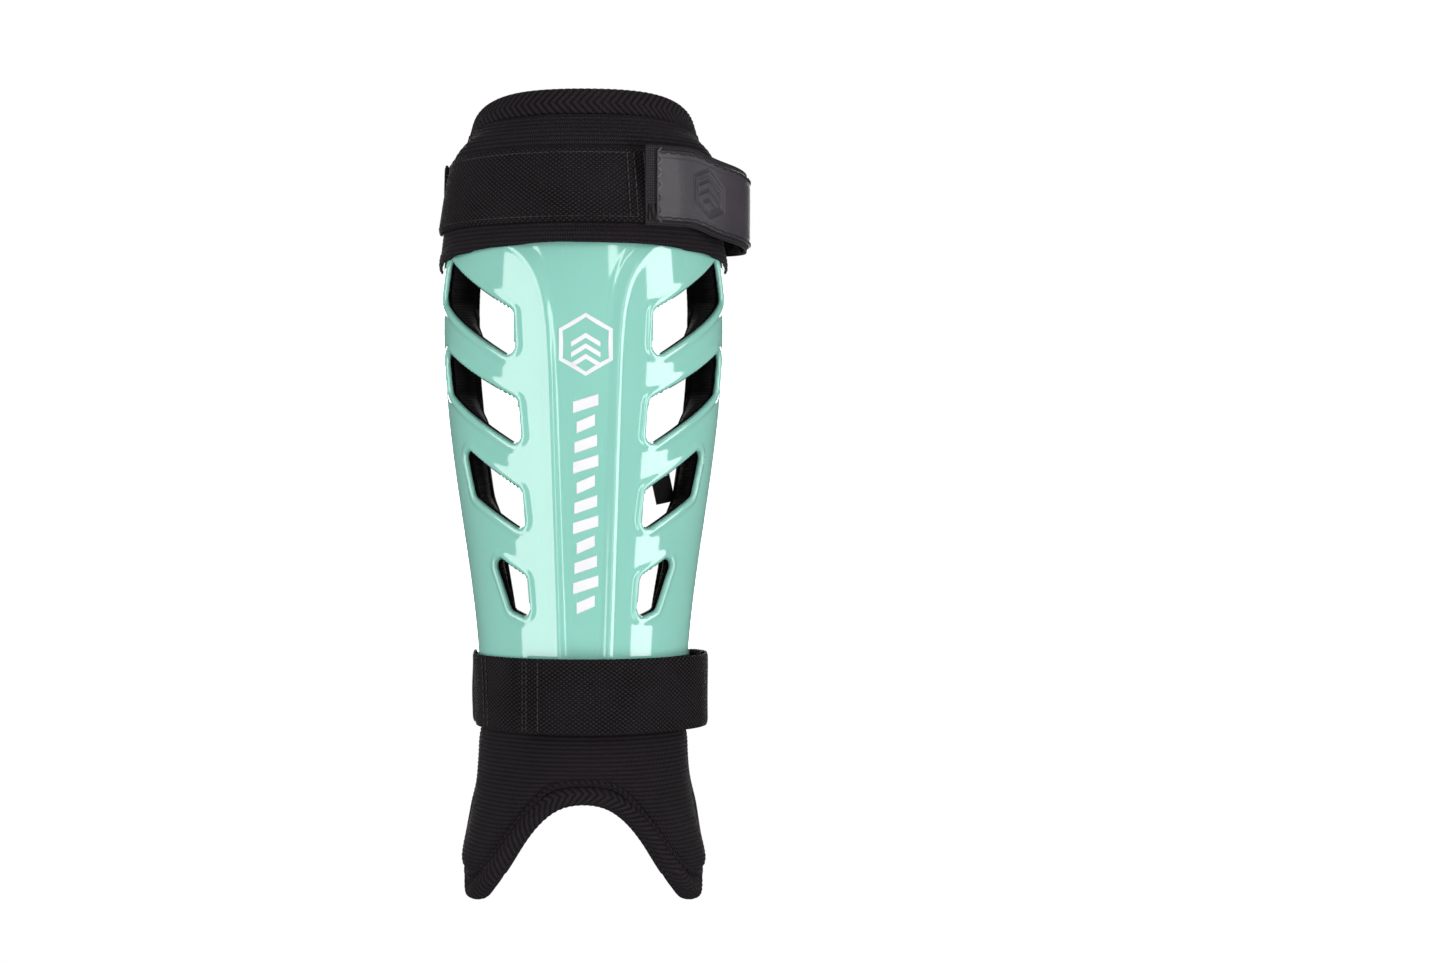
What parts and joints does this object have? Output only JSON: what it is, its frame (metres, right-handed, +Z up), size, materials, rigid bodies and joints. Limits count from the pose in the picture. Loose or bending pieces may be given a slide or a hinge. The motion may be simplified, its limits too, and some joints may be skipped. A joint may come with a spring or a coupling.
{
  "type": "field hockey shin guard",
  "caption": "Shin guard with a slotted glossy shell over a padded liner, a knitted sleeve and ankle cover, and two hook-and-loop straps.",
  "frame": {"origin": "on the leg's axis, level with the lowest point of the ankle pads", "axes": "+Z up the leg, -Y towards the shin (the shell's front), +X to the side the straps close on"},
  "size_m": [0.1311, 0.1158, 0.3298],
  "materials": {
    "shell_plastic": "glossy moulded, mint",
    "hook_tape": "moulded hooks on woven tape, black",
    "loop_tape": "brushed loop, black",
    "liner_foam": "closed-cell foam, dark",
    "lining_fabric": "brushed knit, black",
    "binding_tape": "herringbone tape, black",
    "disc_plastic": "moulded, matt",
    "ribbed_knit": "fine ribbed knit, black",
    "label_tape": "satin tape, dark grey",
    "elastic_webbing": "woven elastic with loop face, black",
    "woven_backing": "woven webbing, black",
    "tab_leather": "smooth coated sheet, charcoal",
    "thread": "polyester thread, black",
    "grey_thread": "polyester thread, grey"
  },
  "bodies": {
    "guard": {"shell": "shell_plastic", "shell_hook_pads": "hook_tape", "liner_loop_pads": "loop_tape", "liner_foam": "liner_foam", "liner_lining": "lining_fabric", "top_binding": "binding_tape", "side_binding_left": "binding_tape", "side_binding_right": "binding_tape", "arch_binding": "binding_tape", "ankle_disc_left": "disc_plastic", "ankle_disc_right": "disc_plastic", "ankle_foam": "liner_foam", "ankle_lining": "lining_fabric", "ankle_cover": "ribbed_knit", "arch_piping": "binding_tape", "top_edge_pad": "liner_foam", "top_sleeve": "ribbed_knit", "sleeve_hem": "ribbed_knit", "care_label": "label_tape", "top_strap_front": "elastic_webbing", "top_strap_stitching": "thread", "lower_strap_front": "elastic_webbing", "lower_strap_stitching": "thread"},
    "top_strap": {"top_strap_rear": "elastic_webbing"},
    "top_tab": {"top_tab_backing": "woven_backing", "top_tab_hook": "hook_tape", "top_tab_face": "tab_leather", "top_tab_stitching": "grey_thread"},
    "lower_strap": {"lower_strap_rear": "elastic_webbing"},
    "lower_end": {"lower_strap_end": "elastic_webbing", "lower_strap_hook": "hook_tape", "lower_end_tape": "binding_tape", "lower_end_stitching": "thread"}
  },
  "joints": [
    {"name": "top_strap_swing", "type": "hinge", "parent": "guard", "child": "top_strap", "pos_m": [-0.0579, 0.012, 0.29], "axis": [0, 0, 1], "range_deg": [0, 33]},
    {"name": "top_tab_peel", "type": "hinge", "parent": "top_strap", "child": "top_tab", "pos_m": [0.0678, 0.007, 0.287], "axis": [0, 0, 1], "range_deg": [0, 110]},
    {"name": "lower_strap_swing", "type": "hinge", "parent": "guard", "child": "lower_strap", "pos_m": [-0.0463, 0.012, 0.088], "axis": [0, 0, 1], "range_deg": [0, 20]},
    {"name": "lower_end_peel", "type": "hinge", "parent": "lower_strap", "child": "lower_end", "pos_m": [0.0507, 0.003, 0.088], "axis": [0, 0, 1], "range_deg": [0, 100]}
  ],
  "couplings": [
    {"joint": "top_strap_swing", "follows": "top_tab_peel", "ratio": 0.3},
    {"joint": "lower_strap_swing", "follows": "lower_end_peel", "ratio": 0.2}
  ]
}
